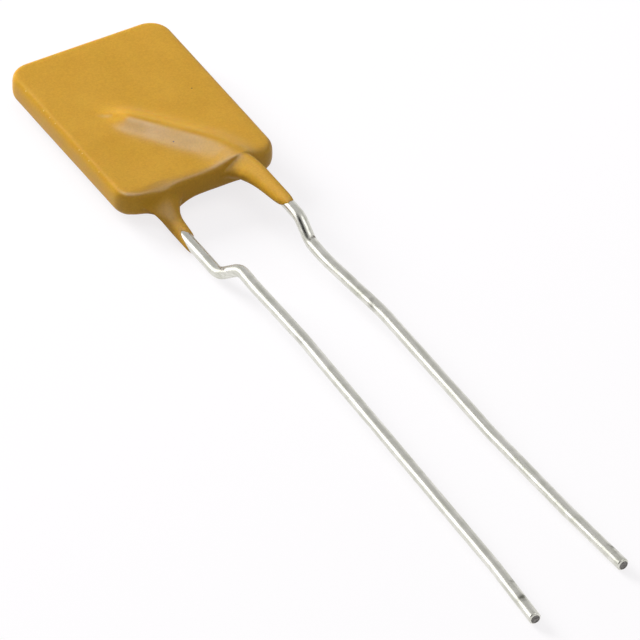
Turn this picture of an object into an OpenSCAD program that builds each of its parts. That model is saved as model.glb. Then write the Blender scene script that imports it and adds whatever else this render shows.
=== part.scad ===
// Resettable fuse: a polymer chip between two foils, with a wire soldered across each foil
// and a dipped epoxy coat that runs a little way down both wires.
// It lies on its back ridge and on the two wire tips, with the wires towards -Y.

/* [Body] */
// Width of the coated body
body_w = 11.25; // [9:0.05:18]
// Length of the coated body along the leads
body_h = 15.65; // [10:0.05:22]
// Thickness of the coated body between its flat faces
body_t = 1.75; // [1.5:0.05:4]
// Radius of the body's four corners, seen from above
corner_r = 1.6; // [1.3:0.05:3]
// How far the rounded rim reaches in from the outline
edge_r = 0.5; // [0.3:0.05:1.2]
// How far in from the outline the ridges and roots turn into the rim
rim_blend = 1; // [0.5:0.05:1.5]

/* [Chip] */
// Coat left between the chip's edge and the body's outline
chip_margin = 0.75; // [0.5:0.05:1.2]
// Coat left over the foil on each flat face
face_coat = 0.35; // [0.2:0.05:0.6]
// Thickness of each electrode foil
foil_t = 0.05; // [0.03:0.01:0.1]
// How far the foil's edge stays inside the chip's edge
foil_inset = 0.15; // [0.05:0.05:0.5]

/* [Wire] */
// Diameter of the tinned wire
wire_d = 0.81; // [0.5:0.01:1]
// Distance between the two wires where they leave the coat
lead_spacing = 6.05; // [4:0.01:8]
// How far the pair of wires sits off the body's centre line
pair_shift = 0.12; // [-1:0.01:1]
// Angle of each soldered run across its foil
slant = 38; // [15:0.5:50]
// Length of each soldered run
slant_run = 4.4; // [3:0.1:10]
// Bend radius where a soldered run turns to leave the body
slant_bend_r = 8.1; // [3:0.1:10]
// Distance past the body's edge at which the front wire has turned straight
front_turn = 1.87; // [1:0.01:4.6]
// Distance past the body's edge at which the back wire has turned straight
back_turn = 1.87; // [1:0.01:4.6]

/* [Solder] */
// Solder left between a wire and its foil
solder_gap = 0.04; // [0.02:0.01:0.1]
// Width of the solder fillet on the foil
solder_w = 1.7; // [1.2:0.1:2.4]
// Bare end of the soldered run that the fillet leaves free
solder_stop = 0.5; // [0.2:0.1:2]

/* [Ridge and sleeves] */
// Coat over the crown of a wire on the body
ridge_cover = 0.17; // [0.12:0.01:0.4]
// Reach of the coat's slope beside the inner end of a wire
ridge_w = 0.62; // [0.6:0.01:1.2]
// How much further that slope reaches where the wire leaves the face
ridge_spread = 0.45; // [0:0.05:0.8]
// How many times longer the slope is beyond the wire's inner end than beside it
ridge_tail = 2.2; // [1:0.1:3]
// Reach of the slope beside a wire on the rounded rim
rim_ridge_w = 0.85; // [0.75:0.05:1.2]
// Coat under a wire where it leaves the body's edge
root_cover = 0.35; // [0.2:0.05:0.5]
// Half width of the flared root of a sleeve
root_half_w = 1.25; // [1.1:0.05:2]
// Length of the sleeve on the front wire
front_sleeve = 4.6; // [2.5:0.05:5.4]
// Length of the sleeve on the back wire
back_sleeve = 3.4; // [2.5:0.05:5.4]
// How much further a sleeve runs along one side of its wire than along the middle
sleeve_lean = 0.85; // [0:0.05:1]
// Side along which the front sleeve runs further, from +X upwards
front_lean_side = 40; // [0:5:360]
// Side along which the back sleeve runs further, from +X upwards
back_lean_side = 215; // [0:5:360]
// Side on which the coat hangs from both sleeves, from +X upwards
sag_side = 215; // [180:5:360]
// How far the coat there keeps the width of the root
sag = 0.65; // [0:0.05:0.8]
// Coat left round the wire at the end of a sleeve
sleeve_cover = 0.07; // [0.05:0.01:0.3]

/* [Kinks] */
// Distance from the body's edge to the kink in the front wire
front_kink = 6.5; // [5.5:0.05:9]
// Distance from the body's edge to the kink in the back wire
back_kink = 6.85; // [5.5:0.05:9]
// Slope of the front kink
front_kink_angle = 32; // [28:1:55]
// Slope of the back kink
back_kink_angle = 42; // [28:1:55]
// Bend radius in the kinks
kink_bend_r = 0.9; // [0.6:0.05:1]
// Straight wire between a kink and the first turn of its tail
kink_tail = 0.75; // [0.3:0.05:2]
// How far the front kink leans outwards
front_kink_lean = -5; // [-45:1:45]
// How far the back kink leans outwards
back_kink_lean = -39; // [-45:1:45]

/* [Tails] */
// Straight pieces of the front wire's tail
front_lengths = [4.7, 11.9, 8.5, 5.8]; // [3:0.1:15]
// Headings of those pieces, outwards from the lead axis
front_headings = [5.5, 0.6, 3, 4.5]; // [-9:0.1:9]
// Straight pieces of the back wire's tail
back_lengths = [5.3, 23.9, 5.4]; // [3:0.1:25]
// Headings of those pieces, outwards from the lead axis
back_headings = [-1.5, 0.8, 2.9]; // [-9:0.1:9]
// Bend radius between the pieces of a tail
tail_bend_r = 18; // [6:1:30]
// Chamfer of the cut wire ends
tip_chamfer = 0.1; // [0.02:0.01:0.15]

/* [Hidden] */
$fn = 48;

// Chip and foils
chip_w = body_w - 2 * chip_margin;
chip_h = body_h - 2 * chip_margin;
chip_t = body_t - 2 * (face_coat + foil_t);
chip_r = corner_r - chip_margin;
foil_z = chip_t / 2 + foil_t;
corner_steps = 6;

// Wire heights over the body's middle plane
wire_r = wire_d / 2;
wire_z = foil_z + solder_gap + wire_r;
crest_z = wire_z + wire_r + ridge_cover;
root_z = wire_z - wire_r - root_cover;
// Bends are a trace thicker than the straight wire, which laps into them
bend_swell = 0.004;
bend_lap = 0.06;
half_h = body_h / 2;

// Mesh of the coat's skin
skin_pitch = 0.42;
rim_steps = 5;
rim_power = 3.5;
ring_steps = 9;
ridge_power = 1.8;
rim_ridge_power = 2.5;
root_ease = 5;
ring_crowding = 1.4;

// Kinks, which bring both wires down to the middle plane
function kink_curve_drop(lead) = kink_bend_r * (1 - cos(kink_angle_of(lead)));
function kink_mid(lead) =
    (wire_z / cos(kink_lean_of(lead)) - 2 * kink_curve_drop(lead)) / sin(kink_angle_of(lead));
function kink_reach(lead) =
    2 * kink_bend_r * sin(kink_angle_of(lead)) + kink_mid(lead) * cos(kink_angle_of(lead));

// One row of sizes for each wire, in its own frame: front wire up, back wire turned over
front = [front_turn, front_kink, front_sleeve, front_lengths, front_headings, 1,
    front_kink_lean, front_lean_side, front_kink_angle];
back = [back_turn, back_kink, back_sleeve, back_lengths, back_headings, -1,
    back_kink_lean, back_lean_side, back_kink_angle];
function turn_of(lead) = lead[0];
function kink_of(lead) = lead[1];
function sleeve_of(lead) = lead[2];
function lengths_of(lead) = lead[3];
function headings_of(lead) = lead[4];
function side_of(lead) = lead[5];
function kink_lean_of(lead) = lead[6];
function lean_side_of(lead) = lead[7];
function kink_angle_of(lead) = lead[8];

// Place of the soldered run: where it starts to turn, and its inner end
function bend_x(lead) = lead_spacing / 2 - slant_bend_r * (1 - cos(slant));
function bend_b(lead) = half_h + turn_of(lead) - slant_bend_r * sin(slant);
function inner_x(lead) = bend_x(lead) - slant_run * sin(slant);
function inner_b(lead) = bend_b(lead) - slant_run * cos(slant);

// Distance of a wire from the lead axis, at a distance b along the leads from the body's middle
function wire_x(lead, b) =
    let (to_go = half_h + turn_of(lead) - b)
    to_go <= 0 ? lead_spacing / 2 :
    b < bend_b(lead) ? bend_x(lead) - (bend_b(lead) - b) * tan(slant) :
    lead_spacing / 2 - slant_bend_r + sqrt(slant_bend_r ^ 2 - to_go ^ 2);

// Angle of a wire to the lead axis there
function wire_heading(lead, b) =
    let (to_go = half_h + turn_of(lead) - b)
    to_go <= 0 ? 0 : b < bend_b(lead) ? slant : asin(to_go / slant_bend_r);

// Reach of a tail along the leads, before it droops, from the heading that its kink leaves
function tail_reach(lead, last, i = 0) =
    i >= len(lengths_of(lead)) ? kink_tail :
    let (heading = headings_of(lead)[i])
    tail_bend_r * abs(sin(heading) - sin(last)) + lengths_of(lead)[i] * cos(heading)
        + tail_reach(lead, heading, i + 1);

// Each tail droops until its tip is as low as the crest of the back ridge.
// A leaning kink turns part of the droop into a heading, which the first turn of the tail takes back.
function plain_droop(lead) = asin((wire_z + ridge_cover) / tail_reach(lead, 0));
function kink_heading(lead) = side_of(lead) * plain_droop(lead) * tan(kink_lean_of(lead));
function droop(lead) = asin((wire_z + ridge_cover) / tail_reach(lead, kink_heading(lead)));
function tip_b(lead) =
    half_h + kink_of(lead) + kink_reach(lead) + tail_reach(lead, kink_heading(lead)) * cos(droop(lead));

// The part's origin is under the middle of its box
far_b = max(tip_b(front), tip_b(back));
origin_y = (far_b - half_h) / 2;
origin_z = crest_z;

module placed() {
    translate([0, origin_y, origin_z]) children();
}

// Puts a shape that is drawn for the front wire on either side of the body
module on_side(lead) {
    translate([pair_shift, 0, 0]) rotate([0, side_of(lead) > 0 ? 0 : 180, 0]) children();
}

// Flat outline with round corners, centred
module rounded_plate(w, h, r) {
    corners = [[1, 1, 0], [-1, 1, 90], [-1, -1, 180], [1, -1, 270]];
    polygon([
        for (c = corners, k = [0 : corner_steps])
            let (a = c[2] + 90 * k / corner_steps)
            [c[0] * (w / 2 - r) + r * cos(a), c[1] * (h / 2 - r) + r * sin(a)]
    ]);
}

// Wire that runs straight and then bends, row by row: [length, bend radius, angle, side].
// It starts along +Z, and side is the direction of the bend, measured from +X towards +Y.
module wire(rows, i = 0) {
    run = rows[i][0];
    bend_r = rows[i][1];
    angle = abs(rows[i][2]);
    side = rows[i][3] + (rows[i][2] < 0 ? 180 : 0);
    start = i == 0 ? 0 : -bend_lap;
    if (i + 1 < len(rows)) {
        translate([0, 0, start]) cylinder(r = wire_r, h = run + bend_lap - start);
        translate([0, 0, run]) rotate([0, 0, side]) translate([bend_r, 0, 0]) {
            rotate([90, 0, 180]) rotate_extrude(angle = angle)
                translate([bend_r, 0]) circle(r = wire_r + bend_swell);
            rotate([0, angle, 0]) translate([-bend_r, 0, 0]) rotate([0, 0, -side]) wire(rows, i + 1);
        }
    } else {
        rotate_extrude() polygon([
            [0, start], [wire_r, start], [wire_r, run - tip_chamfer], [wire_r - tip_chamfer, run], [0, run]
        ]);
    }
}

// Turns of the tail, one row for each straight piece
function tail_rows(lead) =
    let (lengths = lengths_of(lead), headings = headings_of(lead), last = len(lengths) - 1)
    [
        for (i = [0 : last])
            let (turn = i < last ? headings[i + 1] - headings[i] : 0)
            [lengths[i], tail_bend_r, turn, 0]
    ];

// Frame of a soldered run, along +Z from its inner end, with +Y away from the foil
module along_run(lead) {
    translate([inner_x(lead), -inner_b(lead), wire_z]) rotate([90, 0, 0]) rotate([0, slant, 0]) children();
}

module lead(lead) {
    outward = 0;
    up = 90;
    inward = 180;
    down = 270;
    kink_lean = kink_lean_of(lead);
    kink_angle = kink_angle_of(lead);
    fall = side_of(lead) * droop(lead);
    turn_back = kink_angle - fall / cos(kink_lean);
    first_turn = headings_of(lead)[0] - kink_heading(lead);
    rows = concat([
        [slant_run, slant_bend_r, slant, inward],
        [kink_of(lead) - turn_of(lead), kink_bend_r, kink_angle, down + kink_lean],
        [kink_mid(lead), kink_bend_r, turn_back, up + kink_lean],
        [kink_tail, tail_bend_r, first_turn, outward]
    ], tail_rows(lead));
    on_side(lead) along_run(lead) wire(rows);
}

// Fillet of solder from the foil up to the wire's middle
module solder(lead) {
    steps = 6;
    top_share = 0.7;
    base = wire_z - foil_z;
    half_top = wire_r * top_share;
    side = [
        for (k = [0 : steps])
            let (t = k / steps)
            [half_top + (solder_w / 2 - half_top) * (1 - t) ^ 2, base * (t - 1)]
    ];
    outline = concat(side, [for (k = [steps : -1 : 0]) [-side[k][0], side[k][1]]]);
    on_side(lead) difference() {
        along_run(lead) translate([0, 0, solder_stop])
            linear_extrude(slant_run - 2 * solder_stop) polygon(outline);
        along_run(lead) cylinder(r = wire_r, h = slant_run);
    }
}

module foil(side) {
    lower = side > 0 ? chip_t / 2 : -foil_z;
    translate([0, 0, lower]) linear_extrude(foil_t)
        rounded_plate(chip_w - 2 * foil_inset, chip_h - 2 * foil_inset, chip_r);
}

module chip() {
    translate([0, 0, -chip_t / 2]) linear_extrude(chip_t) rounded_plate(chip_w, chip_h, chip_r);
}

// Lines of the skin's grid across one direction, crowded at the rounded rim
function grid_lines(half) =
    let (inner = half - edge_r, count = ceil(2 * inner / skin_pitch))
    let (rim = [for (k = [0 : rim_steps - 1]) edge_r * (1 - cos(90 * k / rim_steps) ^ (2 / rim_power))])
    concat(
        [for (d = rim) d - half],
        [for (k = [0 : count]) 2 * inner * k / count - inner],
        [for (k = [rim_steps - 1 : -1 : 0]) half - rim[k]]
    );
columns = grid_lines(body_w / 2);
rows = grid_lines(half_h);
last_column = len(columns) - 1;
last_row = len(rows) - 1;
grid_size = len(columns) * len(rows);

// Grid point pulled in to the round corners
function skin_xy(x, b) =
    let (cx = body_w / 2 - corner_r, cb = half_h - corner_r)
    let (p = abs(x) - cx, q = abs(b) - cb)
    p <= 0 || q <= 0 ? [x, b] :
    let (pull = max(p, q) / norm([p, q]))
    [sign(x) * (cx + p * pull), sign(b) * (cb + q * pull)];

// Distance in from the outline as a share of a width, from 0 to 1
function rim_share(x, b, width) = min(1, min(body_w / 2 - abs(x), half_h - abs(b)) / width);

// Distance from a wire, or from its inner end with the ridge's tail, seen from above
function wire_distance(lead, x, b) =
    let (own_x = side_of(lead) * (x - pair_shift))
    let (dx = own_x - inner_x(lead), db = b - inner_b(lead))
    let (past = dx * sin(slant) + db * cos(slant))
    let (across = dx * cos(slant) - db * sin(slant))
    past < 0 ? norm([across, past / ridge_tail]) : abs(own_x - wire_x(lead, b)) * cos(wire_heading(lead, b));

// Height of a wire's ridge as a share of its crest: its foot widens towards the rim, where it turns rounder,
// on the side that looks to the other wire
function ridge_share(lead, x, b) =
    let (share = rim_share(x, b, rim_blend))
    let (inside = side_of(lead) * (x - pair_shift) < wire_x(lead, b) ? 1 : 0)
    let (way = inside * max(0, min(1, (b - inner_b(lead)) / (half_h - inner_b(lead)))))
    let (reach = rim_ridge_w + (ridge_w + ridge_spread * way - rim_ridge_w) * share)
    let (power = rim_ridge_power + (ridge_power - rim_ridge_power) * share)
    exp(-(wire_distance(lead, x, b) / reach) ^ power);

// Columns of the rim that open into a lead's sleeve
function root_x(lead) = pair_shift + side_of(lead) * wire_x(lead, half_h);
function root_first(lead) =
    max([for (i = [0 : last_column]) if (columns[i] <= root_x(lead) - root_half_w) i]);
function root_last(lead) =
    min([for (i = [0 : last_column]) if (columns[i] >= root_x(lead) + root_half_w) i]);
function in_root(lead, i) = i > root_first(lead) && i < root_last(lead);

// Height of the coat over the middle plane on the side of one lead.
// The other lead's root lifts that side's rim towards the wire that it covers.
function coat_height(over, under, x, b) =
    let (share = rim_share(x, b, rim_blend))
    let (face = body_t / 2 * (1 - (1 - rim_share(x, b, edge_r)) ^ rim_power) ^ (1 / rim_power))
    let (ridge = ridge_share(over, x, b))
    let (off = min(1, abs(x - root_x(under)) / root_half_w))
    face + (crest_z - face) * ridge
        - (b > 0 ? root_z * cos(90 * off) ^ 2 * (1 - share) ^ 2 : 0);

function skin_point(over, under, x, b) =
    let (xy = skin_xy(x, b))
    [xy[0], -xy[1], side_of(over) * coat_height(over, under, x, b)];

function front_id(i, j) = j * len(columns) + i;
function back_id(i, j) =
    let (open = j == last_row && (in_root(front, i) || in_root(back, i)))
    let (rim = i == 0 || i == last_column || j == 0 || j == last_row)
    rim && !open ? front_id(i, j) : grid_size + front_id(i, j);

// Rings of a sleeve: the first is the open rim, and the others ease to a circle round the wire
function ring_size(lead) = 2 * (root_last(lead) - root_first(lead));
function root_id(lead, q) =
    let (first = root_first(lead), wide = root_last(lead) - first)
    q <= wide ? front_id(first + q, last_row) : back_id(first + 2 * wide - q, last_row);
function ring_id(lead, k, q) =
    let (turn = q % ring_size(lead))
    k == 0 ? root_id(lead, turn) : sleeve_start(lead) + (k - 1) * ring_size(lead) + turn;
function sleeve_start(lead) =
    2 * grid_size + (side_of(lead) > 0 ? 0 : ring_steps * ring_size(front) + 1);
function ring_point(lead, grid, k, q) =
    let (side = side_of(lead), t = (k / ring_steps) ^ ring_crowding)
    let (root = grid[root_id(lead, q)])
    let (a = 180 - 360 * q / ring_size(lead))
    let (ease = 1 - (1 - t) ^ (root_ease * (1 - sag * max(0, cos(a - sag_side)))))
    let (lean = sleeve_lean * t * cos(a - lean_side_of(lead)))
    let (b = half_h + sleeve_of(lead) * t + lean)
    let (axis_x = pair_shift + side * wire_x(lead, b))
    let (round_r = wire_r + sleeve_cover, wide_r = round_r / cos(wire_heading(lead, b)))
    let (round = [axis_x + wide_r * cos(a), -b, side * wire_z + round_r * sin(a)])
    let (flared = [root[0] - root_x(lead) + axis_x, -b, root[2]])
    flared + (round - flared) * ease;
function sleeve_points(lead, grid) =
    let (rings = [
        for (k = [1 : ring_steps], q = [0 : ring_size(lead) - 1]) ring_point(lead, grid, k, q)
    ])
    let (b = half_h + sleeve_of(lead))
    concat(rings, [[pair_shift + side_of(lead) * wire_x(lead, b), -b, side_of(lead) * wire_z]]);

// Faces of the skin
function quad(a, b, c, d) = [[a, b, c], [a, c, d]];
function grid_faces() = [
    for (j = [0 : last_row - 1], i = [0 : last_column - 1])
        each concat(
            quad(front_id(i, j), front_id(i, j + 1), front_id(i + 1, j + 1), front_id(i + 1, j)),
            quad(back_id(i + 1, j), back_id(i + 1, j + 1), back_id(i, j + 1), back_id(i, j))
        )
];
function sleeve_faces(lead) = concat([
    for (k = [0 : ring_steps - 1], q = [0 : ring_size(lead) - 1])
        each quad(
            ring_id(lead, k, q), ring_id(lead, k + 1, q),
            ring_id(lead, k + 1, q + 1), ring_id(lead, k, q + 1)
        )
], [
    for (q = [0 : ring_size(lead) - 1])
        [
            ring_id(lead, ring_steps, q), sleeve_start(lead) + ring_steps * ring_size(lead),
            ring_id(lead, ring_steps, q + 1)
        ]
]);

// Outer skin of the dipped coat: two faces that meet at the rim, and the sleeves on the wires
module coat_skin() {
    grid = concat(
        [for (b = rows, x = columns) skin_point(front, back, x, b)],
        [for (b = rows, x = columns) skin_point(back, front, x, b)]
    );
    points = concat(grid, sleeve_points(front, grid), sleeve_points(back, grid));
    faces = concat(grid_faces(), sleeve_faces(front), sleeve_faces(back));
    polyhedron(points = points, faces = faces);
}

module epoxy_coating() {
    color("#c8993a") placed() difference() {
        coat_skin();
        chip();
        foil(1);
        foil(-1);
        solder(front);
        solder(back);
        lead(front);
        lead(back);
    }
}

module polymer_chip() {
    color("#2e2c2b") placed() chip();
}

module front_foil() {
    color("#a9a79f") placed() foil(1);
}

module back_foil() {
    color("#a9a79f") placed() foil(-1);
}

module front_solder() {
    color("#bfc1c0") placed() solder(front);
}

module back_solder() {
    color("#bfc1c0") placed() solder(back);
}

module front_lead() {
    color("#c9c7bd") placed() lead(front);
}

module back_lead() {
    color("#c9c7bd") placed() lead(back);
}

epoxy_coating();
polymer_chip();
front_foil();
back_foil();
front_solder();
back_solder();
front_lead();
back_lead();
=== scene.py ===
"""Resettable fuse: a flat dipped body with two kinked wires, lying on a pale studio table."""

import logging
import math
from dataclasses import dataclass, field
from enum import Enum
from typing import Dict, List, Optional, Sequence, Tuple, Union

import bmesh
import bpy
from mathutils import Matrix, Vector, noise


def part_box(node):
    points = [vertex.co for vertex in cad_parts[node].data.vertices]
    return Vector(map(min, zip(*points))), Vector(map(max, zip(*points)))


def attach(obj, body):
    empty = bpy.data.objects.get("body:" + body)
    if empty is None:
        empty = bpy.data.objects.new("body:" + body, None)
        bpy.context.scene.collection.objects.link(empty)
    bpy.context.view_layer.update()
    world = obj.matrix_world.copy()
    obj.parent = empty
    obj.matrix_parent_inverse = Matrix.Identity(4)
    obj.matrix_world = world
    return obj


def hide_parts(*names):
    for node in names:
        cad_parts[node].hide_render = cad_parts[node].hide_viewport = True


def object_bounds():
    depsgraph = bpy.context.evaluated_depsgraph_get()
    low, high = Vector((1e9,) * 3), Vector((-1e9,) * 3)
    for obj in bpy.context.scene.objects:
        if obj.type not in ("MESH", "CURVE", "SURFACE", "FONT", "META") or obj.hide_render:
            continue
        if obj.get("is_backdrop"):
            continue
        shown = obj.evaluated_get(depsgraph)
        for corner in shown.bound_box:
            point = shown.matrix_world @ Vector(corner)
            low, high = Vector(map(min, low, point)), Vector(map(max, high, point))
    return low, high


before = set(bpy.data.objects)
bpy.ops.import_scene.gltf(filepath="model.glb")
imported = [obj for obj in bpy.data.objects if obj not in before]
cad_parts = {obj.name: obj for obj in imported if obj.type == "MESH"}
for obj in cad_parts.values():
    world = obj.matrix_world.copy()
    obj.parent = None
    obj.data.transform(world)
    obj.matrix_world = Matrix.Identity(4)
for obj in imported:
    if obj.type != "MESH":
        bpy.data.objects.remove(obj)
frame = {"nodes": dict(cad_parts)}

log = logging.getLogger("fuse")
MM = 0.001

Colour = Tuple[float, float, float]
Point = Tuple[float, float, float]
Span = Tuple[float, float]
Object = bpy.types.Object
Material = bpy.types.Material
Socket = bpy.types.NodeSocket
Inputs = Dict[Union[str, int], object]
Mesh = bmesh.types.BMesh
Vert = bmesh.types.BMVert
Edges = List[bmesh.types.BMEdge]


class Side(Enum):
    """The face of the body that a wire is soldered to."""

    FRONT = 1
    BACK = -1


class LampRole(Enum):
    """What a lamp is for: lighting all surfaces, or the shine on the coat or on the wires."""

    LIGHT = "light"
    COAT_SHINE = "coat_shine"
    WIRE_SHINE = "wire_shine"


class Slot(Enum):
    """Finishes named in the part's record."""

    COATING = "coating"
    LEAD_WIRE = "lead_wire"


def cosd(angle: float) -> float:
    """Cosine of an angle in degrees."""
    return math.cos(math.radians(angle))


def sind(angle: float) -> float:
    """Sine of an angle in degrees."""
    return math.sin(math.radians(angle))


def tand(angle: float) -> float:
    """Tangent of an angle in degrees."""
    return math.tan(math.radians(angle))


def clamp(value: float) -> float:
    """Value held between 0 and 1."""
    return max(0.0, min(1.0, value))


def blend(low: float, high: float, share: float) -> float:
    """Value between low and high at a share of the way."""
    return low + (high - low) * share


@dataclass(frozen=True)
class Shader:
    """Node tree of a material or of the world, with short calls for the nodes used here."""

    owner: Union[Material, bpy.types.World]

    @classmethod
    def start(cls, owner: Union[Material, bpy.types.World]) -> "Shader":
        """Start with an empty tree.

        Args:
            owner: New material or world.

        Returns:
            The shader with a cleared tree.
        """
        owner.use_nodes = True
        owner.node_tree.nodes.clear()
        return cls(owner)

    @classmethod
    def new(cls, name: str) -> "Shader":
        """Start an empty material."""
        return cls.start(bpy.data.materials.new(name))

    def node(self, kind: str, inputs: Optional[Inputs] = None, **settings: object) -> bpy.types.Node:
        """Add a node.

        Args:
            kind: Node type without its ShaderNode prefix.
            inputs: Socket values, or output sockets to link, by socket name or number.
            settings: Node properties.

        Returns:
            The new node.
        """
        made = self.owner.node_tree.nodes.new("ShaderNode" + kind)
        for key, value in settings.items():
            setattr(made, key, value)
        for key, value in (inputs or {}).items():
            if isinstance(value, Socket):
                self.owner.node_tree.links.new(value, made.inputs[key])
            else:
                made.inputs[key].default_value = value
        return made

    def place(self, stretch: float = 1.0) -> Socket:
        """Object coordinates, with their measure along the leads scaled."""
        inputs = {"Vector": self.node("TexCoord").outputs["Object"], "Scale": (1.0, stretch, 1.0)}
        return self.node("Mapping", inputs).outputs["Vector"]

    def noise(self, vector: Socket, size_mm: float, detail: float = 2.0, rough: float = 0.5) -> Socket:
        """Noise with features of a given size.

        Args:
            vector: Coordinates.
            size_mm: Rough size of a feature.
            detail: Octaves of finer noise.
            rough: Strength of the finer octaves.

        Returns:
            The value socket.
        """
        inputs = {"Vector": vector, "Scale": 1.0 / (size_mm * MM), "Detail": detail, "Roughness": rough}
        return self.node("TexNoise", inputs).outputs["Fac"]

    def ramp(self, fac: Socket, over: Span, low: Colour, high: Colour) -> Socket:
        """Colour ramp between two colours.

        Args:
            fac: Value that is coloured.
            over: Values at which the two colours are reached.
            low: Colour at the lower value.
            high: Colour at the higher value.

        Returns:
            The colour socket.
        """
        made = self.node("ValToRGB", {"Fac": fac})
        for element, position, colour in zip(made.color_ramp.elements, over, (low, high)):
            element.position = position
            element.color = (*colour, 1.0)
        return made.outputs["Color"]

    def span(self, fac: Socket, low: float, high: float, start: float, end: float) -> Socket:
        """Map a value from one range to another, held at both ends.

        Args:
            fac: Value to map.
            low: Result at start.
            high: Result at end.
            start: Value that gives low.
            end: Value that gives high.

        Returns:
            The value socket.
        """
        inputs = {"Value": fac, "From Min": start, "From Max": end, "To Min": low, "To Max": high}
        return self.node("MapRange", inputs).outputs["Result"]

    def mix(self, fac: Socket, under: Socket, over: Colour) -> Socket:
        """Lay a colour over another.

        Args:
            fac: Share of the upper colour.
            under: Lower colour.
            over: Upper colour.

        Returns:
            The colour socket.
        """
        factor, first_colour, second_colour, mixed_colour = 0, 6, 7, 2
        inputs = {factor: fac, first_colour: under, second_colour: (*over, 1.0)}
        return self.node("Mix", inputs, data_type="RGBA").outputs[mixed_colour]

    def math(self, operation: str, *values: object) -> Socket:
        """Result of an operation on values or sockets."""
        return self.node("Math", dict(enumerate(values)), operation=operation).outputs["Value"]

    def weigh(self, first: Socket, second: Socket, share: float) -> Socket:
        """Mean of two values, with a share for the second."""
        first = self.math("MULTIPLY", first, 1.0 - share)
        return self.math("ADD", first, self.math("MULTIPLY", second, share))

    def spots(self, centres: Sequence[Point], size_mm: Span) -> Socket:
        """Mask that is 1 within a radius of any of some points of the piece.

        Args:
            centres: Points in millimetres.
            size_mm: Radius of the full mask, and the width over which it fades.

        Returns:
            The value socket.
        """
        where = self.node("TexCoord").outputs["Object"]
        radius, soft = size_mm
        total = None
        for centre in centres:
            far = self.node("VectorMath", {0: where, 1: Vector(centre) * MM}, operation="DISTANCE")
            one = self.span(far.outputs["Value"], 1.0, 0.0, radius * MM, (radius + soft) * MM)
            total = one if total is None else self.math("MAXIMUM", total, one)
        return total

    def bump(self, height: Socket, strength: float, depth_mm: float,
             under: Optional[Socket] = None) -> Socket:
        """Bump from a height.

        Args:
            height: Height socket.
            strength: Strength of the bump.
            depth_mm: Height of a full step.
            under: Normal that it adds to.

        Returns:
            The normal socket.
        """
        inputs = {"Height": height, "Strength": strength, "Distance": depth_mm * MM}
        if under is not None:
            inputs["Normal"] = under
        return self.node("Bump", inputs).outputs["Normal"]

    def principled(self, inputs: Inputs) -> Material:
        """Close the tree with a Principled shader.

        Args:
            inputs: Its sockets.

        Returns:
            The finished material.
        """
        shader = self.node("BsdfPrincipled", inputs)
        self.node("OutputMaterial", {"Surface": shader.outputs["BSDF"]})
        return self.owner

    def by_sight(self, unseen: Socket, seen: Socket, output: str) -> None:
        """Close the tree with one shader for the light that it gives and another for its own look.

        Args:
            unseen: Shader that lights other surfaces.
            seen: Shader for camera, glossy and transmission rays.
            output: Output node without its ShaderNode prefix.
        """
        path = self.node("LightPath").outputs
        share = self.math("MAXIMUM", path["Is Camera Ray"], path["Is Glossy Ray"])
        share = self.math("MAXIMUM", share, path["Is Transmission Ray"])
        mixed = self.node("MixShader", {"Fac": share, 1: unseen, 2: seen})
        self.node(output, {"Surface": mixed.outputs["Shader"]})


@dataclass(frozen=True)
class EpoxyFinish:
    """Satin mustard epoxy with a fine pebbled grain, a few pinholes, and glints painted on the rim as
    highlights.

    In all finishes, a field that ends in _over is the range of a noise over which a look changes,
    and one that ends in _spot holds a spot's radius and the width of its soft edge in millimetres.
    """

    light: Colour = (0.60, 0.318, 0.014)
    deep: Colour = (0.52, 0.268, 0.009)
    tone_over: Span = (0.36, 0.64)
    mottle_mm: float = 1.6
    grain_mm: float = 0.13
    grain_share: float = 0.7
    grain_bump: float = 0.35
    grain_depth_mm: float = 0.012
    speck_mm: float = 0.05
    speck_over: Span = (0.62, 0.74)
    speck_strength: float = 0.22
    pinhole: Colour = (0.06, 0.03, 0.008)
    pinhole_spot: Span = (0.035, 0.03)
    # Colour of the painted highlight specks on the rim.
    glint: Colour = (0.8, 0.6, 0.26)
    glint_spot: Span = (0.01, 0.05)
    roughness: Span = (0.38, 0.5)
    gloss_over: Span = (0.3, 0.7)
    sleeve_dulling: float = 0.2
    dulling_mm: Span = (-0.5, 0.3)
    refraction: float = 1.36
    bleed: Colour = (1.0, 0.4, 0.12)
    bleed_weight: float = 0.3
    bleed_mm: float = 0.35

    def material(self, pinholes: Sequence[Point], glints: Sequence[Point], edge_y: float) -> Material:
        """Make the coat's material.

        Args:
            pinholes: Places of the dark pinholes, in millimetres.
            glints: Places of the painted glints, pale highlight specks on the rim, in millimetres.
            edge_y: Place along Y of the edge that the sleeves hang from, in millimetres.

        Returns:
            The material.
        """
        shader = Shader.new("mustard_epoxy")
        where = shader.place()
        mottle = shader.noise(where, self.mottle_mm, detail=3.0)
        grain = shader.noise(where, self.grain_mm, rough=0.6)
        speck = shader.noise(where, self.speck_mm, detail=1.0)
        tone = shader.weigh(mottle, grain, self.grain_share)
        colour = shader.ramp(tone, self.tone_over, self.deep, self.light)
        specks = shader.span(speck, 0.0, self.speck_strength, *self.speck_over)
        colour = shader.mix(specks, colour, self.deep)
        colour = shader.mix(shader.spots(pinholes, self.pinhole_spot), colour, self.pinhole)
        # Painted highlight: pale glint specks on the left rim.
        colour = shader.mix(shader.spots(glints, self.glint_spot), colour, self.glint)
        gloss = shader.span(mottle, *self.roughness, *self.gloss_over)
        start, end = ((edge_y + off) * MM for off in self.dulling_mm)
        along_leads = shader.node("SeparateXYZ", {"Vector": where}).outputs["Y"]
        dulling = shader.span(along_leads, self.sleeve_dulling, 0.0, start, end)
        return shader.principled({
            "Base Color": colour,
            "Roughness": shader.math("ADD", gloss, dulling),
            "IOR": self.refraction,
            "Subsurface Weight": self.bleed_weight,
            "Subsurface Radius": self.bleed,
            "Subsurface Scale": self.bleed_mm * MM,
            "Normal": shader.bump(grain, self.grain_bump, self.grain_depth_mm),
        })


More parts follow.
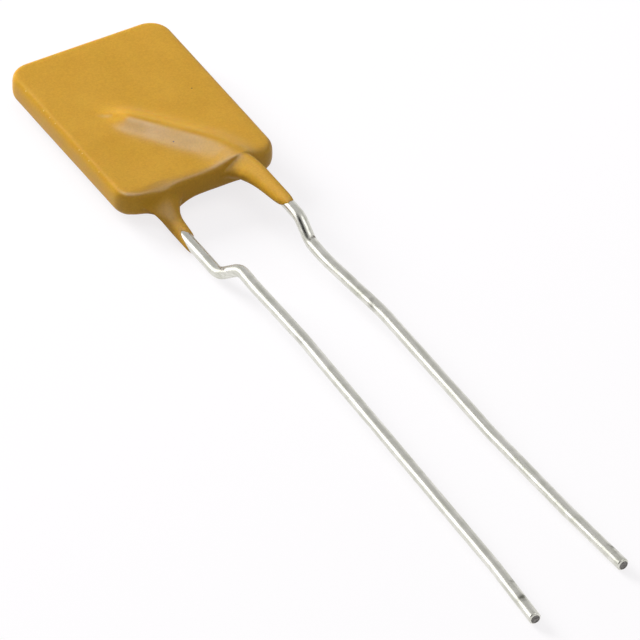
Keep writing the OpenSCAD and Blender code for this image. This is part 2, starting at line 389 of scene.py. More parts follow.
@dataclass(frozen=True)
class TinFinish:
    """Drawn and tinned wire: long streaks, fine scratches, a few dull marks, and shade painted dark in the
    kink's creases.
    """

    bright: Colour = (0.8, 0.795, 0.735)
    dull: Colour = (0.57, 0.575, 0.495)
    tone_over: Span = (0.34, 0.6)
    roughness: Span = (0.36, 0.2)
    gloss_over: Span = (0.35, 0.65)
    stretch: float = 0.035
    streak_mm: float = 0.16
    streak_bump: float = 0.1
    streak_depth_mm: float = 0.03
    hair_mm: float = 0.048
    hair_bump: float = 0.12
    hair_depth_mm: float = 0.008
    cloud_mm: float = 0.7
    cloud_share: float = 0.4
    mark: Colour = (0.2, 0.2, 0.165)
    mark_spot: Span = (0.18, 0.45)
    mark_over: Span = (0.42, 0.62)
    # Colour of the painted shade in the kink's creases.
    crease_shade: Colour = (0.09, 0.06, 0.045)
    crease_spot: Span = (0.05, 0.1)

    def material(self, name: str, marks: Sequence[Point], creases: Sequence[Point]) -> Material:
        """Make the material of one wire.

        Args:
            name: Name of the material.
            marks: Places of the dull marks, in millimetres.
            creases: Places in the kink's creases where shade is painted dark, in millimetres.

        Returns:
            The material.
        """
        shader = Shader.new(name)
        drawn = shader.place(self.stretch)
        streak = shader.noise(drawn, self.streak_mm, detail=3.0, rough=0.6)
        hair = shader.noise(drawn, self.hair_mm, rough=0.6)
        cloud = shader.noise(shader.place(), self.cloud_mm, detail=3.0)
        tone = shader.weigh(streak, cloud, self.cloud_share)
        colour = shader.ramp(tone, self.tone_over, self.dull, self.bright)
        patchy = shader.span(cloud, 0.0, 1.0, *self.mark_over)
        worn = shader.math("MULTIPLY", shader.spots(marks, self.mark_spot), patchy)
        colour = shader.mix(worn, colour, self.mark)
        # Painted shade: the kink's creases are darkened in the wire's colour.
        colour = shader.mix(shader.spots(creases, self.crease_spot), colour, self.crease_shade)
        normal = shader.bump(streak, self.streak_bump, self.streak_depth_mm)
        return shader.principled({
            "Base Color": colour,
            "Metallic": 1.0,
            "Roughness": shader.span(tone, *self.roughness, *self.gloss_over),
            "Normal": shader.bump(hair, self.hair_bump, self.hair_depth_mm, normal),
        })


@dataclass(frozen=True)
class GrainFinish:
    """Finish of a nipped wire end or of a piece inside the coat: two tones of a grain."""

    name: str
    low: Colour
    high: Colour
    metallic: float
    roughness: Span
    grain_mm: float
    stretch: float = 1.0
    grain_rough: float = 0.6
    tone_over: Span = (0.35, 0.65)
    grain_bump: float = 0.2
    grain_depth_mm: float = 0.01

    def material(self) -> Material:
        """Make the material.

        Returns:
            The material.
        """
        shader = Shader.new(self.name)
        grain = shader.noise(shader.place(self.stretch), self.grain_mm, detail=3.0, rough=self.grain_rough)
        return shader.principled({
            "Base Color": shader.ramp(grain, self.tone_over, self.low, self.high),
            "Metallic": self.metallic,
            "Roughness": shader.span(grain, *self.roughness, start=0.0, end=1.0),
            "Normal": shader.bump(grain, self.grain_bump, self.grain_depth_mm),
        })


def mesh_object(bm: Mesh, name: str) -> Object:
    """Turn a mesh drawn in millimetres into a smooth object in metres.

    Args:
        bm: Mesh, which is freed.
        name: Name of the object.

    Returns:
        The object, linked to the scene.
    """
    bmesh.ops.scale(bm, vec=(MM, MM, MM), verts=bm.verts)
    for face in bm.faces:
        face.smooth = True
    mesh = bpy.data.meshes.new(name)
    bm.to_mesh(mesh)
    bm.free()
    made = bpy.data.objects.new(name, mesh)
    bpy.context.scene.collection.objects.link(made)
    return made


@dataclass(frozen=True)
class BodySizes:
    """Sizes of the dipped body in millimetres, measured from its middle."""

    width: float = 11.25
    length: float = 15.65
    thick: float = 1.75
    corner_r: float = 1.5
    edge_r: float = 0.6
    rim_power: float = 3.3
    rim_blend: float = 1.0
    chip_thick: float = 0.95
    foil_thick: float = 0.05
    solder_gap: float = 0.04
    wire_d: float = 0.81
    ridge_cover: float = 0.17
    root_cover: float = 1.2

    @property
    def half(self) -> float:
        """Distance from the middle to the edge that the wires leave."""
        return self.length / 2

    @property
    def wire_r(self) -> float:
        """Radius of the wire."""
        return self.wire_d / 2

    @property
    def wire_z(self) -> float:
        """Height of a soldered wire's axis over the middle plane."""
        return self.chip_thick / 2 + self.foil_thick + self.solder_gap + self.wire_r

    @property
    def crest_z(self) -> float:
        """Height of a ridge's crest over the middle plane."""
        return self.wire_z + self.wire_r + self.ridge_cover

    @property
    def root_z(self) -> float:
        """Height over the middle plane of the coat's underside at a root."""
        return self.wire_z - self.wire_r - self.root_cover

    @property
    def centre(self) -> Vector:
        """Middle of the body in the part's frame, taken from the coat's solid."""
        return Vector((0.0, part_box("epoxy_coating")[1][1] / MM - self.half, self.crest_z))


@dataclass
class Lead:
    """One tinned wire, soldered across a face of the chip, kinked and drooping to the table.

    Sizes are in millimetres and angles in degrees. The tail past the kink has straight lengths,
    each with its heading to the lead axis. Marks and creases are places in the part's frame.
    """

    name: str
    node: str
    side: Side
    body: BodySizes
    kink: float
    kink_lean: float
    kink_angle: float
    kink_bend_r: float
    kink_tail: float
    lengths: Sequence[float]
    headings: Sequence[float]
    marks: Sequence[Point]
    creases: Sequence[Point]
    turn: float = 1.87
    spacing: float = 6.05
    pair_shift: float = 0.12
    slant: float = 38.0
    slant_run: float = 4.4
    slant_bend_r: float = 8.1
    tail_bend_r: float = 18.0
    tip_chamfer: float = 0.1
    tip_hold: float = 0.04
    tip_inset: float = 0.07
    tip_dish: float = 0.03
    around: int = 40
    step: float = 0.8
    bend_step: float = 4.0
    fewest_bend_steps: int = 3
    join: float = 1e-4

    @property
    def bend_along(self) -> float:
        """Distance along the leads at which the soldered run starts to turn."""
        return self.body.half + self.turn - self.slant_bend_r * sind(self.slant)

    @property
    def bend_x(self) -> float:
        """Distance from the lead axis at which the soldered run starts to turn."""
        return self.spacing / 2 - self.slant_bend_r * (1 - cosd(self.slant))

    @property
    def inner(self) -> Tuple[float, float]:
        """Place of the wire's inner end: off the lead axis, and along the leads."""
        off_axis = self.bend_x - self.slant_run * sind(self.slant)
        return off_axis, self.bend_along - self.slant_run * cosd(self.slant)

    def course(self, along: float) -> Tuple[float, float]:
        """Course of the wire at a distance along the leads.

        Args:
            along: Distance from the body's middle towards the leads.

        Returns:
            Its distance from the lead axis, outwards, and its angle to that axis.
        """
        to_go = self.body.half + self.turn - along
        if to_go <= 0:
            return self.spacing / 2, 0.0
        if along < self.bend_along:
            return self.bend_x - (self.bend_along - along) * tand(self.slant), self.slant
        off_axis = self.spacing / 2 - self.slant_bend_r + math.sqrt(self.slant_bend_r ** 2 - to_go ** 2)
        return off_axis, math.degrees(math.asin(to_go / self.slant_bend_r))

    def world_x(self, along: float) -> float:
        """Place of the wire across the body at a distance along the leads."""
        return self.pair_shift + self.side.value * self.course(along)[0]

    def tail_reach(self, last: float) -> float:
        """Reach of the tail along the leads, before it droops.

        Args:
            last: Heading that the kink leaves.

        Returns:
            The reach in millimetres.
        """
        reach = self.kink_tail
        for length, heading in zip(self.lengths, self.headings):
            reach += self.tail_bend_r * abs(sind(heading) - sind(last)) + length * cosd(heading)
            last = heading
        return reach

    def droop(self, last: float) -> float:
        """Angle by which the tail comes down to the table, from the heading that the kink leaves."""
        low = self.body.wire_z + self.body.ridge_cover
        return self.side.value * math.degrees(math.asin(low / self.tail_reach(last)))

    def rows(self) -> List[Tuple[float, float, float, float]]:
        """Straight pieces with the bend that follows each: length, bend radius, angle and direction.

        Returns:
            One row for each straight piece, the last without a bend.
        """
        outward, up, inward, down = 0.0, 90.0, 180.0, 270.0
        left = self.droop(0.0) * tand(self.kink_lean)
        fall = self.droop(left) / cosd(self.kink_lean)
        drop = self.kink_bend_r * (1 - cosd(self.kink_angle))
        middle = (self.body.wire_z / cosd(self.kink_lean) - 2 * drop) / sind(self.kink_angle)
        made = [
            (self.slant_run, self.slant_bend_r, self.slant, inward),
            (self.kink - self.turn, self.kink_bend_r, self.kink_angle, down + self.kink_lean),
            (middle, self.kink_bend_r, self.kink_angle - fall, up + self.kink_lean),
            (self.kink_tail, self.tail_bend_r, self.headings[0] - left, outward),
        ]
        turns = [after - before for before, after in zip(self.headings, self.headings[1:])] + [0.0]
        made += [(length, self.tail_bend_r, turn, outward) for length, turn in zip(self.lengths, turns)]
        return made

    def placing(self) -> Matrix:
        """Matrix from the wire's own frame to the part's frame, in millimetres."""
        turned = Matrix.Rotation(0.0 if self.side is Side.FRONT else math.pi, 4, "Y")
        return Matrix.Translation(self.body.centre + Vector((self.pair_shift, 0.0, 0.0))) @ turned

    @staticmethod
    def open_edges(geometry: Sequence[object]) -> Edges:
        """The edges in a list of geometry."""
        return [g for g in geometry if isinstance(g, bmesh.types.BMEdge)]

    def extrude(self, bm: Mesh, ring: Edges, move: Vector) -> Edges:
        """Extrude a ring of edges and move it.

        Args:
            bm: Mesh.
            ring: Open ring.
            move: Way to move it.

        Returns:
            The new ring.
        """
        made = bmesh.ops.extrude_edge_only(bm, edges=ring)["geom"]
        verts = [g for g in made if isinstance(g, Vert)]
        bmesh.ops.translate(bm, verts=verts, vec=move)
        fresh = set(verts)
        return [e for e in self.open_edges(made) if all(v in fresh for v in e.verts)]

    def build(self) -> Object:
        """Sweep the wire from its inner end to its nipped tip.

        Returns:
            The wire's object.
        """
        bm = bmesh.new()
        off_axis, along = self.inner
        place = Vector((off_axis, -along, self.body.wire_z))
        ahead = Vector((sind(self.slant), -cosd(self.slant), 0.0))
        out = Vector((cosd(self.slant), sind(self.slant), 0.0))
        above = Vector((0.0, 0.0, 1.0))
        start = Matrix((out, above, ahead)).transposed().to_4x4()
        start.translation = place
        circle = bmesh.ops.create_circle(
            bm, cap_ends=True, segments=self.around, radius=self.body.wire_r, matrix=start)
        ring = list(dict.fromkeys(e for v in circle["verts"] for e in v.link_edges))
        rows = self.rows()
        for number, (length, bend_r, angle, side) in enumerate(rows):
            last = number == len(rows) - 1
            run = length - self.tip_chamfer - self.tip_hold if last else length
            pieces = max(1, math.ceil(run / self.step))
            for _ in range(pieces):
                ring = self.extrude(bm, ring, ahead * (run / pieces))
            place = place + ahead * run
            if last:
                break
            side += 180.0 if angle < 0 else 0.0
            turn = math.radians(abs(angle))
            toward = out * cosd(side) + above * sind(side)
            axis = ahead.cross(toward).normalized()
            hub = place + toward * bend_r
            steps = max(self.fewest_bend_steps, math.ceil(abs(angle) / self.bend_step))
            ring = self.open_edges(bmesh.ops.spin(
                bm, geom=ring, cent=hub, axis=axis, angle=turn, steps=steps)["geom_last"])
            spun = Matrix.Rotation(turn, 3, axis)
            place = hub + spun @ (place - hub)
            ahead, out, above = spun @ ahead, spun @ out, spun @ above
        self.close_tip(bm, ring, place, ahead)
        bmesh.ops.remove_doubles(bm, verts=bm.verts, dist=self.join)
        bmesh.ops.recalc_face_normals(bm, faces=bm.faces)
        bmesh.ops.transform(bm, matrix=self.placing(), verts=bm.verts)
        return mesh_object(bm, self.name)

    def close_tip(self, bm: Mesh, ring: Edges, place: Vector, ahead: Vector) -> None:
        """Chamfer and close the tip, with the shallow dish that the nippers leave.

        Args:
            bm: Mesh.
            ring: Open ring at the tip.
            place: Middle of the ring.
            ahead: Direction of the wire there.
        """
        ring = self.extrude(bm, ring, ahead * self.tip_hold)
        ring = self.extrude(bm, ring, ahead * self.tip_chamfer)
        middle = place + ahead * (self.tip_hold + self.tip_chamfer)
        rim = list({v for e in ring for v in e.verts})
        share = 1 - self.tip_chamfer / self.body.wire_r
        bmesh.ops.scale(bm, vec=(share,) * 3, verts=rim, space=Matrix.Translation(-middle))
        cap = bmesh.ops.edgeloop_fill(bm, edges=ring)["faces"]
        inner = bmesh.ops.inset_region(bm, faces=cap, thickness=self.tip_inset, depth=0.0)["faces"]
        dished = list({v for f in cap for v in f.verts})
        bmesh.ops.translate(bm, verts=dished, vec=ahead * -self.tip_dish)
        for face in [*cap, *inner]:
            face.material_index = 1

    def dress(self, piece: Object, tin: TinFinish, cut: Material) -> None:
        """Give the wire its finish and its place in the part.

        Args:
            piece: The wire's object.
            tin: Finish of the wire.
            cut: Material of the nipped end.
        """
        piece.data.materials.append(tin.material(self.name + "_tin", self.marks, self.creases))
        piece.data.materials.append(cut)
        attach(piece, "root")
        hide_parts(self.node)
        log.info("%s: %d faces", piece.name, len(piece.data.polygons))


@dataclass
class SleeveEnd:
    """How the coat ends on one wire: sizes in millimetres, sides in degrees from +X upwards."""

    length: float
    lean: float
    lean_side: float
    seed: float
    hang_fillet: float
    bulge: float
    bulge_side: float
    notch: float = 0.0
    notch_side: float = 122.0
    notch_w: float = 45.0
    ragged: float = 0.12
    waves: float = 1.7
    fine_waves: float = 5.0
    fine_share: float = 0.5
    fine_seed: float = 3.0

    def reach(self, angle: float) -> float:
        """Length of the sleeve on one side of the wire.

        Args:
            angle: Side of the wire.

        Returns:
            The length in millimetres.
        """
        way = Vector((cosd(angle), sind(angle), 0.0))
        wobble = noise.noise(way * self.waves + Vector((0.0, 0.0, self.seed)))
        fine = noise.noise(way * self.fine_waves + Vector((0.0, 0.0, self.seed + self.fine_seed)))
        off = (angle - self.notch_side + 180.0) % 360.0 - 180.0
        drawn_back = self.notch * math.exp(-(off / self.notch_w) ** 2)
        lean = self.lean * cosd(angle - self.lean_side)
        return self.length + lean + self.ragged * (wobble + self.fine_share * fine) - drawn_back


@dataclass
class EpoxyCoat:
    """The dipped coat: two faces that meet at a round rim, ridges over the wires and sleeves down them.

    Sizes are in millimetres. A place on the body is given across it and along the leads, from its
    middle. Pinholes are such places. Glints, pale specks painted on as highlights, are places along the left
    rim.
    """

    body: BodySizes
    front: Lead
    back: Lead
    front_end: SleeveEnd
    back_end: SleeveEnd
    ridge_w: float = 0.72
    ridge_spread: float = 0.45
    ridge_lead: float = 0.15
    ridge_tail: float = 1.5
    ridge_power: float = 2.0
    rim_ridge_w: float = 0.85
    rim_spread: float = 0.5
    rim_ridge_power: float = 2.3
    root_left: float = 1.8
    root_right: float = 1.3
    crown: float = 0.03
    crown_w: float = 2.2
    far_foot: float = 0.3
    root_fillet: float = 1.6
    sag_side: float = 215.0
    sleeve_cover: float = 0.07
    lip_start: float = 0.86
    lip_cover: float = 0.004
    lip_tuck: float = 0.02
    soft_before: float = 0.7
    soft_past: float = 1.0
    soft_side: float = 2.2
    soft_rounds: int = 10
    soft_share: float = 0.4
    wander: float = 0.015
    wander_scale: float = 0.55
    pitch: float = 0.19
    rim_steps: int = 8
    rings: int = 26
    crowd: float = 1.8
    pinholes: Sequence[Tuple[float, float]] = ((3.69, -0.21), (-0.12, 4.26))
    glints: Sequence[float] = (-5.2, -2.9, -2.1, -1.4, 1.7, 2.1, 2.95, 4.25)
    glint_inset: float = 0.15
    columns: List[float] = field(default_factory=list)
    rows: List[float] = field(default_factory=list)

    def lines(self, half: float) -> List[float]:
        """Lines of the skin's grid across one direction, crowded at the rim.

        Args:
            half: Half of the body's size in that direction.

        Returns:
            The places of the lines.
        """
        inner = half - self.body.edge_r
        count = math.ceil(2 * inner / self.pitch)
        rim = [self.body.edge_r * (1 - cosd(90 * k / self.rim_steps) ** (2 / self.body.rim_power))
               for k in range(self.rim_steps)]
        return ([d - half for d in rim] + [2 * inner * k / count - inner for k in range(count + 1)]
                + [half - d for d in reversed(rim)])

    def rim_share(self, x: float, along: float, width: float) -> float:
        """Distance in from the outline as a share of a width, up to 1."""
        return min(1.0, min(self.body.width / 2 - abs(x), self.body.half - abs(along)) / width)

    def rounded(self, x: float, along: float) -> Tuple[float, float]:
        """Pull a grid point in to the round corners.

        Args:
            x: Place across the body.
            along: Place along the leads.

        Returns:
            The place on the skin.
        """
        flat_x, flat_along = self.body.width / 2 - self.body.corner_r, self.body.half - self.body.corner_r
        past_x, past_along = abs(x) - flat_x, abs(along) - flat_along
        if past_x <= 0 or past_along <= 0:
            return x, along
        pull = max(past_x, past_along) / math.hypot(past_x, past_along)
        return math.copysign(flat_x + past_x * pull, x), math.copysign(flat_along + past_along * pull, along)

    def ridge_share(self, lead: Lead, x: float, along: float) -> float:
        """Height of a wire's ridge as a share of its crest.

        Args:
            lead: Wire under the ridge.
            x: Place across the body.
            along: Place along the leads.

        Returns:
            The share, 1 over the wire.
        """
        own_x = lead.side.value * (x - lead.pair_shift)
        axis_x, heading = lead.course(along)
        inner_x, inner_along = lead.inner
        off_x, off_along = own_x - inner_x, along - inner_along
        past = off_x * sind(lead.slant) + off_along * cosd(lead.slant) + self.ridge_lead
        across = off_x * cosd(lead.slant) - off_along * sind(lead.slant)
        beside = (own_x - axis_x) * cosd(heading)
        far = math.hypot(across, past / self.ridge_tail) if past < 0 else abs(beside)
        share = self.rim_share(x, along, self.body.rim_blend)
        spread, rim_spread = self.far_foot, 0.0
        if beside < 0:
            spread = self.ridge_spread * clamp(off_along / (self.body.half - inner_along))
            rim_spread = self.rim_spread
        reach = blend(self.rim_ridge_w + rim_spread, self.ridge_w + spread, share)
        power = blend(self.rim_ridge_power, self.ridge_power, share)
        return math.exp(-(far / reach) ** power)

    def height(self, over: Lead, under: Lead, x: float, along: float) -> float:
        """Height of the coat over the middle plane, on the side of one wire.

        Args:
            over: Wire on that side.
            under: Wire on the other side.
            x: Place across the body.
            along: Place along the leads.

        Returns:
            The height in millimetres.
        """
        share = self.rim_share(x, along, self.body.rim_blend)
        power = self.body.rim_power
        edge = self.rim_share(x, along, self.body.edge_r)
        far = clamp(1 - min(self.body.width / 2 - x, self.body.half + along) / self.crown_w)
        face = (self.body.thick / 2 - self.crown * far ** 2) * (1 - (1 - edge) ** power) ** (1 / power)
        lift = 0.0
        if along > 0:
            off = x - under.world_x(self.body.half)
            off = min(1.0, off / self.root_right if off > 0 else -off / self.root_left)
            lift = cosd(90 * off) ** 2 * (1 - share) ** 2
        ridged = blend(face, self.body.crest_z, self.ridge_share(over, x, along))
        return blend(ridged, -self.body.root_z, lift)

    def on_front(self, x: float, along: float) -> Vector:
        """Point of the front face in the part's frame, in millimetres."""
        return self.body.centre + Vector((x, -along, self.height(self.front, self.back, x, along)))

    def sheet(self, bm: Mesh, over: Lead, under: Lead) -> Dict[Tuple[int, int], Vert]:
        """Make one face of the coat from a grid.

        Args:
            bm: Mesh.
            over: Wire on that face.
            under: Wire on the other face.

        Returns:
            The vertices by column and row.
        """
        wide, long = len(self.columns) - 1, len(self.rows) - 1
        made = bmesh.ops.create_grid(bm, x_segments=wide, y_segments=long, size=1.0)["verts"]
        found: Dict[Tuple[int, int], Vert] = {}
        for vert in made:
            i, j = round((vert.co.x + 1) / 2 * wide), round((1 - vert.co.y) / 2 * long)
            x, along = self.columns[i], self.rows[j]
            skin_x, skin_along = self.rounded(x, along)
            vert.co = (skin_x, -skin_along, over.side.value * self.height(over, under, x, along))
            found[i, j] = vert
        return found

    def root(self, lead: Lead) -> Tuple[int, int]:
        """Find the rim's opening for a wire.

        Args:
            lead: The wire.

        Returns:
            The opening's first and last column.
        """
        middle = lead.world_x(self.body.half)
        first = max(i for i, x in enumerate(self.columns) if x <= middle - self.root_left)
        last = min(i for i, x in enumerate(self.columns) if x >= middle + self.root_right)
        return first, last

    @staticmethod
    def loop(bm: Mesh, ring: List[Vert]) -> Edges:
        """Edges of a closed ring of vertices."""
        return [bm.edges.get(pair) for pair in zip(ring, ring[1:] + ring[:1])]

    def sleeve(self, bm: Mesh, lead: Lead, end: SleeveEnd, ring: List[Vert]) -> None:
        """Extrude an opening of the rim down its wire and close it on the wire.

        Args:
            bm: Mesh.
            lead: The wire.
            end: How the coat ends on it.
            ring: The opening's vertices, from the left over the top.
        """
        rim = [v.co.copy() for v in ring]
        angles = [180.0 - 360.0 * number / len(ring) for number in range(len(ring))]
        for turn in range(1, self.rings + 2):
            share = min(1.0, turn / self.rings) ** self.crowd
            made = bmesh.ops.extrude_edge_only(bm, edges=self.loop(bm, ring))["geom"]
            old = set(ring)
            below: Dict[Vert, Vert] = {}
            for vert in (g for g in made if isinstance(g, Vert)):
                for edge in vert.link_edges:
                    if edge.other_vert(vert) in old:
                        below[edge.other_vert(vert)] = vert
            ring = [below[v] for v in ring]
            for vert, start, angle in zip(ring, rim, angles):
                vert.co = self.ring_point(lead, end, start, angle, share, turn > self.rings)
        bmesh.ops.edgeloop_fill(bm, edges=self.loop(bm, ring))

    def ring_point(self, lead: Lead, end: SleeveEnd, rim: Vector, angle: float, share: float,
                   inside: bool) -> Vector:
        """Point of a sleeve's ring.

        Args:
            lead: The wire.
            end: How the coat ends on it.
            rim: The point of the opening that it comes from.
            angle: Side of the wire, in degrees from +X upwards.
            share: Share of the sleeve's length.
            inside: True for the last ring, which turns in under the wire's surface.

        Returns:
            The point, measured from the body's middle.
        """
        body = self.body
        hang = max(0.0, cosd(angle - self.sag_side))
        run = end.reach(angle) * share
        ease = math.sqrt(1 - clamp(1 - run / blend(self.root_fillet, end.hang_fillet, hang)) ** 2)
        along = body.half + run
        thin = math.sqrt(1 - clamp((share - self.lip_start) / (1 - self.lip_start)) ** 2)
        cover = self.sleeve_cover + end.bulge * max(0.0, cosd(angle - end.bulge_side)) * (1 - share)
        radius = body.wire_r + (-self.lip_tuck if inside else cover * thin + self.lip_cover)
        wide = radius / cosd(lead.course(along)[1])
        middle = lead.world_x(along)
        wire_z = lead.side.value * body.wire_z
        round_point = Vector((middle + wide * cosd(angle), -along, wire_z + radius * sind(angle)))
        flared = Vector((rim.x - lead.world_x(body.half) + middle, -along, rim.z))
        return flared.lerp(round_point, ease)

    def build(self) -> Object:
        """Make the coat.

        Returns:
            The coat's object.
        """
        bm = bmesh.new()
        self.columns, self.rows = self.lines(self.body.width / 2), self.lines(self.body.half)
        top = self.sheet(bm, self.front, self.back)
        low = self.sheet(bm, self.back, self.front)
        wide, long = len(self.columns) - 1, len(self.rows) - 1
        spans = {lead.name: self.root(lead) for lead in (self.front, self.back)}
        weld = {}
        for (i, j), vert in low.items():
            rim = i in (0, wide) or j in (0, long)
            opening = j == long and any(first < i < last for first, last in spans.values())
            if rim and not opening:
                weld[vert] = top[i, j]
        bmesh.ops.weld_verts(bm, targetmap=weld)
        for lead, end in ((self.front, self.front_end), (self.back, self.back_end)):
            first, last = spans[lead.name]
            ring = [top[i, long] for i in range(first, last + 1)]
            ring += [low[i, long] for i in range(last - 1, first, -1)]
            self.sleeve(bm, lead, end, ring)
        bmesh.ops.recalc_face_normals(bm, faces=bm.faces)
        self.soften(bm)
        bmesh.ops.translate(bm, verts=bm.verts, vec=self.body.centre)
        piece = mesh_object(bm, "dipped_coat")
        smooth = piece.modifiers.new("smooth_skin", "SUBSURF")
        smooth.levels = smooth.render_levels = 1
        return piece

    def soften(self, bm: Mesh) -> None:
        """Blend the roots into the rim and let the skin wander a little, inwards only.

        Args:
            bm: Mesh, measured from the body's middle.
        """
        half = self.body.half
        side = self.front.spacing / 2 + self.soft_side
        near = [v for v in bm.verts if half - self.soft_before < -v.co.y < half + self.soft_past
                and abs(v.co.x - self.front.pair_shift) < side]
        for _ in range(self.soft_rounds):
            bmesh.ops.smooth_vert(
                bm, verts=near, factor=self.soft_share, use_axis_x=True, use_axis_y=True, use_axis_z=True)
        bm.normal_update()
        for vert in bm.verts:
            if -vert.co.y < half:
                wander = 0.5 + 0.5 * noise.noise(vert.co * self.wander_scale)
                vert.co -= vert.normal * (self.wander * wander)

    def dress(self, piece: Object, finish: EpoxyFinish) -> None:
        """Give the coat its finish and its place in the part.

        Args:
            piece: The coat's object.
            finish: Finish of the epoxy.
        """
        holes = [self.on_front(x, along) for x, along in self.pinholes]
        # Places of the painted highlight specks along the left rim.
        glints = [self.on_front(self.glint_inset - self.body.width / 2, along) for along in self.glints]
        edge_y = self.body.centre.y - self.body.half
        piece.data.materials.append(finish.material(holes, glints, edge_y))
        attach(piece, "root")
        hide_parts("epoxy_coating")
        log.info("%s: %d faces", piece.name, len(piece.data.polygons))


@dataclass
class InnerStack:
    """The chip, foils and solder inside the coat, which keep their solids."""

    polymer: GrainFinish = GrainFinish(
        "carbon_polymer", low=(0.018, 0.018, 0.019), high=(0.045, 0.044, 0.043), metallic=0.0,
        roughness=(0.5, 0.7), grain_mm=0.15)
    foil: GrainFinish = GrainFinish(
        "nickel_foil", low=(0.38, 0.37, 0.33), high=(0.52, 0.51, 0.47), metallic=1.0,
        roughness=(0.3, 0.5), grain_mm=0.12, stretch=0.05)
    solder: GrainFinish = GrainFinish(
        "solder", low=(0.5, 0.5, 0.5), high=(0.68, 0.68, 0.67), metallic=1.0,
        roughness=(0.15, 0.35), grain_mm=0.3)

    def dress(self, nodes: Dict[str, Object]) -> None:
        """Give each inner node its material.

        Args:
            nodes: The part's nodes by name.
        """
        plan = (
            (self.polymer, ("polymer_chip",)),
            (self.foil, ("front_foil", "back_foil")),
            (self.solder, ("front_solder", "back_solder")),
        )
        for finish, names in plan:
            material = finish.material()
            for name in names:
                piece = nodes[name]
                piece.data.materials.clear()
                piece.data.materials.append(material)
                log.info("%s: %s", name, material.name)


@dataclass(frozen=True)
class Softbox:
    """One soft lamp: its direction from the object, its size and its brightness."""

    name: str
    role: LampRole
    direction: Point
    size: float
    radiance: float
    distance: float = 0.40

    def build(self, receivers: Dict[LampRole, bpy.types.Collection]) -> None:
        """Make the lamp, facing the object.

        Args:
            receivers: Pieces that the shine lamps are for, by their role.
        """
        lamp = bpy.data.lights.new(self.name, "AREA")
        lamp.shape = "SQUARE"
        lamp.size = self.size
        lamp.energy = self.radiance * math.pi * self.size ** 2
        holder = bpy.data.objects.new(self.name, lamp)
        way = Vector(self.direction).normalized()
        holder.location = way * self.distance
        holder.rotation_mode = "QUATERNION"
        holder.rotation_quaternion = (-way).to_track_quat("-Z", "Y")
        holder.visible_camera = False
        holder.visible_diffuse = self.role is LampRole.LIGHT
        holder.visible_glossy = self.role is not LampRole.LIGHT
        holder.light_linking.receiver_collection = receivers.get(self.role)
        bpy.context.scene.collection.objects.link(holder)


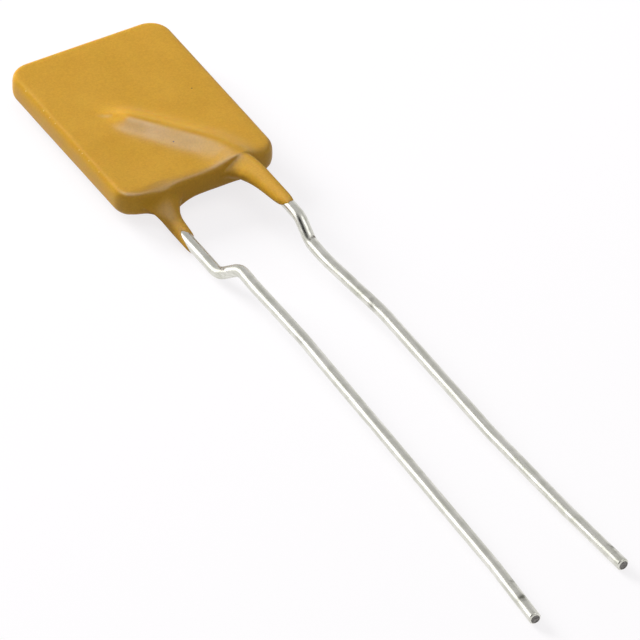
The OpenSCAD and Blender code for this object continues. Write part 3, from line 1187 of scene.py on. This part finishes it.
@dataclass
class Studio:
    """Pale table, soft lamps and the camera at the picture's angle.

    Angles are in degrees, the table in millimetres and places in the picture in pixels. The sky
    fades from its level at the horizon to that at sky_top, and a dark flag covers one part of it.
    """

    body: BodySizes
    shiny: Dict[LampRole, Sequence[Object]]
    azimuth: float = -29.397
    elevation: float = 38.313
    picture: float = 640.0
    body_at: Tuple[float, float] = (142.149, 118.567)
    pixels_per_mm: float = 15.925
    lens: float = 1700.0
    sensor: float = 36.0
    table_half: float = 3000.0
    table_gap: float = 0.02
    table_paint: Colour = (0.5, 0.497, 0.5)
    table_shade: Colour = (0.22, 0.219, 0.22)
    table_glow: float = 0.79
    pale: Colour = (1.0, 0.985, 1.0)
    ambient: float = 0.42
    sky_low: float = 1.0
    sky_high: float = 0.62
    sky_top: float = 0.6
    flag_way: Point = (-0.72, -0.12, 0.68)
    flag_reach: Span = (0.84, 0.94)
    flag_level: float = 0.04
    lamps: Sequence[Softbox] = (
        Softbox("key_light", LampRole.LIGHT, (-0.28, 0.89, 0.36), size=0.17, radiance=24.5),
        Softbox("overhead_light", LampRole.LIGHT, (0.0, 0.0, 1.0), size=0.30, radiance=1.0),
        Softbox("ridge_shine", LampRole.COAT_SHINE, (-0.27, 0.17, 0.94), size=0.28, radiance=12.5),
        Softbox("near_edge_shine", LampRole.COAT_SHINE, (0.385, -0.03, 0.92), size=0.16, radiance=8.0),
        Softbox("tail_shine", LampRole.WIRE_SHINE, (-0.64, 0.68, 0.36), size=0.22, radiance=1.6),
        Softbox("kink_shine", LampRole.WIRE_SHINE, (0.3, -0.2, 0.93), size=0.2, radiance=1.2),
    )

    def build(self) -> None:
        """Set up the table, the world, the lamps and the camera."""
        bpy.context.scene.view_settings.view_transform = "Standard"
        self.table()
        self.world()
        receivers = {role: bpy.data.collections.new(role.value) for role in self.shiny}
        for role, pieces in self.shiny.items():
            for piece in pieces:
                receivers[role].objects.link(piece)
        for lamp in self.lamps:
            lamp.build(receivers)
        self.camera()

    def table(self) -> None:
        """Make the pale table, which shows a faint shadow."""
        bm = bmesh.new()
        bmesh.ops.create_grid(bm, x_segments=1, y_segments=1, size=self.table_half)
        bmesh.ops.translate(bm, verts=bm.verts, vec=(0.0, 0.0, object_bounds()[0].z / MM - self.table_gap))
        made = mesh_object(bm, "table")
        shader = Shader.new("pale_table")
        paint = shader.node("BsdfDiffuse", {"Color": (*self.table_paint, 1.0)})
        shade = shader.node("BsdfDiffuse", {"Color": (*self.table_shade, 1.0)})
        glow = shader.node("Emission", {"Color": (*self.pale, 1.0), "Strength": self.table_glow})
        shown = shader.node("AddShader", {0: shade.outputs["BSDF"], 1: glow.outputs["Emission"]})
        shader.by_sight(paint.outputs["BSDF"], shown.outputs["Shader"], "OutputMaterial")
        made.data.materials.append(shader.owner)
        made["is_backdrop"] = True

    def world(self) -> None:
        """Make the surroundings: dim for light on the object, pale where they are seen."""
        world = bpy.data.worlds.new("studio")
        shader = Shader.start(world)
        way = shader.node("TexCoord").outputs["Generated"]
        height = shader.node("SeparateXYZ", {"Vector": way}).outputs["Z"]
        sky = shader.span(height, self.sky_low, self.sky_high, start=0.0, end=self.sky_top)
        facing = shader.node("VectorMath", {0: way, 1: self.flag_way}, operation="DOT_PRODUCT")
        flag = shader.span(facing.outputs["Value"], 1.0, self.flag_level, *self.flag_reach)
        level = shader.math("MULTIPLY", sky, flag)
        dim = shader.node("Background", {"Strength": self.ambient})
        pale = shader.node("Background", {"Color": (*self.pale, 1.0), "Strength": level})
        shader.by_sight(dim.outputs["Background"], pale.outputs["Background"], "OutputWorld")
        bpy.context.scene.world = world

    def camera(self) -> None:
        """Place the camera so that the body's middle falls where the picture has it."""
        level = cosd(self.elevation)
        back = Vector((sind(self.azimuth) * level, -cosd(self.azimuth) * level, sind(self.elevation)))
        right = Vector((cosd(self.azimuth), sind(self.azimuth), 0.0))
        up = back.cross(right)
        off_x, off_y = ((self.picture / 2 - at) / self.pixels_per_mm for at in self.body_at)
        target = (self.body.centre + right * off_x - up * off_y) * MM
        field_m = self.picture / self.pixels_per_mm * MM
        data = bpy.data.cameras.new("camera")
        data.lens = self.lens
        data.sensor_width = self.sensor
        made = bpy.data.objects.new("camera", data)
        matrix = Matrix((right, up, back)).transposed().to_4x4()
        matrix.translation = target + back * (field_m * self.lens / self.sensor)
        made.matrix_world = matrix
        bpy.context.scene.collection.objects.link(made)
        bpy.context.scene.camera = made


def main() -> None:
    """Build the fuse and its studio."""
    logging.basicConfig(level=logging.INFO, format="%(name)s %(message)s")
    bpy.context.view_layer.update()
    body = BodySizes()
    front = Lead(
        "upper_wire", "front_lead", Side.FRONT, body,
        kink=6.33, kink_lean=-5.0, kink_angle=32.0, kink_bend_r=1.5, kink_tail=0.58,
        lengths=(4.7, 11.9, 8.5, 5.8), headings=(5.5, 0.6, 3.0, 4.5),
        marks=((3.5, -0.3, 1.6), (4.75, -27.85, 0.75)),
        creases=((2.93, 6.98, 1.86), (3.10, 7.03, 1.9), (3.27, 7.08, 1.92)))
    back = Lead(
        "lower_wire", "back_lead", Side.BACK, body,
        kink=6.7, kink_lean=-39.0, kink_angle=42.0, kink_bend_r=1.3, kink_tail=0.57,
        lengths=(5.3, 23.9, 5.4), headings=(-1.5, 0.8, 2.9),
        marks=((-2.1, -1.0, 1.6), (-2.3, -27.8, 0.75), (-2.5, -29.3, 0.7)),
        creases=((-2.96, 7.85, 1.25), (-2.9, 7.72, 1.3), (-2.98, 8.0, 1.22)))
    tin = TinFinish()
    cut = GrainFinish(
        "nipped_end", low=(0.10, 0.095, 0.09), high=(0.34, 0.33, 0.31), metallic=0.9,
        roughness=(0.35, 0.6), grain_mm=0.12, grain_rough=0.7, tone_over=(0.38, 0.68),
        grain_bump=0.5, grain_depth_mm=0.04).material()
    wires = [lead.build() for lead in (front, back)]
    for lead, wire in zip((front, back), wires):
        lead.dress(wire, tin, cut)
    coat = EpoxyCoat(
        body, front, back,
        front_end=SleeveEnd(length=5.15, lean=0.55, lean_side=100.0, seed=1.0, hang_fillet=3.0,
                            bulge=0.6, bulge_side=215.0),
        back_end=SleeveEnd(length=3.8, lean=0.5, lean_side=215.0, seed=2.0, hang_fillet=1.6,
                           bulge=0.3, bulge_side=10.0, notch=1.05))
    skin = coat.build()
    coat.dress(skin, EpoxyFinish())
    InnerStack().dress(frame["nodes"])
    Studio(body, {LampRole.COAT_SHINE: [skin], LampRole.WIRE_SHINE: wires}).build()


if __name__ == "__main__":
    main()
